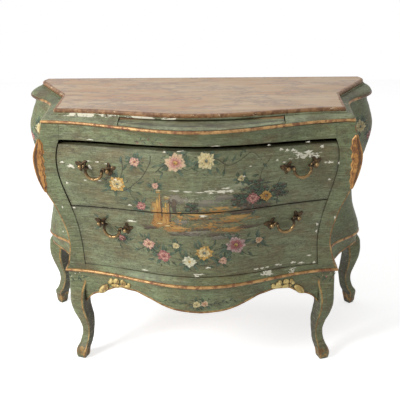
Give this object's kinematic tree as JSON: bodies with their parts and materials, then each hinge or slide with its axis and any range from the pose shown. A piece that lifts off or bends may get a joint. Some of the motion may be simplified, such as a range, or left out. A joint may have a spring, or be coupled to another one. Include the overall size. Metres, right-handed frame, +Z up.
{
  "type": "bombe commode chest of drawers",
  "caption": "Painted and gilded bombe commode with a serpentine front, two drawers, a brushing slide under the top, brass bail handles and cabriole legs.",
  "frame": {"origin": "bottom centre of the overall box, on the floor between the feet", "axes": "+X to the right as one faces the drawers, +Y to the back, +Z up"},
  "size_m": [1.2087, 0.5806, 0.88],
  "materials": {
    "green_paint": "sage green distemper over gesso, crackled and chipped, with painted sprays of flowers",
    "marbled_paint": "tan and pink faux marble paint with lilac-grey veins, worn brown edge",
    "gilding": "worn water gilding over red bole",
    "bare_wood": "sawn and planed softwood, aged brown",
    "handle_brass": "cast brass, worn bright on the high points",
    "nail_iron": "hand-forged iron nail heads"
  },
  "bodies": {
    "carcass": {"apron_carvings": "gilding", "back_boards": "bare_wood", "back_nails": "nail_iron", "bottom_board": "bare_wood", "bottom_rail": "green_paint", "drawer_divider": "bare_wood", "dust_board": "bare_wood", "front_apron": "green_paint", "front_moulding": "green_paint", "glue_blocks": "bare_wood", "left_apron": "green_paint", "left_corner_mount": "gilding", "left_front_leg": "green_paint", "left_front_post": "green_paint", "left_moulding": "green_paint", "left_rear_leg": "green_paint", "left_rear_post": "green_paint", "left_side_panel": "green_paint", "lower_bead_front": "gilding", "lower_bead_left": "gilding", "lower_bead_right": "gilding", "lower_drawer_guides": "bare_wood", "rear_apron": "bare_wood", "rear_top_rail": "bare_wood", "right_apron": "green_paint", "right_corner_mount": "gilding", "right_front_leg": "green_paint", "right_front_post": "green_paint", "right_moulding": "green_paint", "right_rear_leg": "green_paint", "right_rear_post": "green_paint", "right_side_panel": "green_paint", "slide_bed": "bare_wood", "slide_guides": "bare_wood", "top_rail": "green_paint", "top_slab": "marbled_paint", "upper_bead_front": "gilding", "upper_bead_left": "gilding", "upper_bead_right": "gilding", "upper_drawer_guides": "bare_wood"},
    "brushing_slide": {"brushing_slide_board": "bare_wood", "brushing_slide_nose": "green_paint"},
    "upper_drawer": {"upper_drawer_front": "green_paint", "upper_drawer_left_side": "bare_wood", "upper_drawer_right_side": "bare_wood", "upper_drawer_back": "bare_wood", "upper_drawer_bottom": "bare_wood", "upper_drawer_handle_plates": "handle_brass", "upper_drawer_handle_posts": "handle_brass"},
    "lower_drawer": {"lower_drawer_front": "green_paint", "lower_drawer_left_side": "bare_wood", "lower_drawer_right_side": "bare_wood", "lower_drawer_back": "bare_wood", "lower_drawer_bottom": "bare_wood", "lower_drawer_handle_plates": "handle_brass", "lower_drawer_handle_posts": "handle_brass"},
    "upper_left_bail": {"upper_left_bail": "handle_brass"},
    "upper_right_bail": {"upper_right_bail": "handle_brass"},
    "lower_left_bail": {"lower_left_bail": "handle_brass"},
    "lower_right_bail": {"lower_right_bail": "handle_brass"}
  },
  "joints": [
    {"name": "brushing_slide_pull", "type": "slide", "parent": "carcass", "child": "brushing_slide", "axis": [0, -1, 0], "range_m": [0, 0.3]},
    {"name": "upper_drawer_pull", "type": "slide", "parent": "carcass", "child": "upper_drawer", "axis": [0, -1, 0], "range_m": [0, 0.33]},
    {"name": "lower_drawer_pull", "type": "slide", "parent": "carcass", "child": "lower_drawer", "axis": [0, -1, 0], "range_m": [0, 0.33]},
    {"name": "upper_left_bail_swing", "type": "hinge", "parent": "upper_drawer", "child": "upper_left_bail", "pos_m": [-0.32726, -0.21297, 0.709], "axis": [-0.9644, 0.2496, 0.0872], "range_deg": [0, 100]},
    {"name": "upper_right_bail_swing", "type": "hinge", "parent": "upper_drawer", "child": "upper_right_bail", "pos_m": [0.32116, -0.21084, 0.7135], "axis": [-0.966, -0.2435, -0.0872], "range_deg": [0, 100]},
    {"name": "lower_left_bail_swing", "type": "hinge", "parent": "lower_drawer", "child": "lower_left_bail", "pos_m": [-0.28124, -0.20052, 0.5085], "axis": [-0.9416, 0.3049, 0.1426], "range_deg": [0, 100]},
    {"name": "lower_right_bail_swing", "type": "hinge", "parent": "lower_drawer", "child": "lower_right_bail", "pos_m": [0.27317, -0.20189, 0.526], "axis": [-0.9397, -0.2997, -0.1651], "range_deg": [0, 100]}
  ]
}
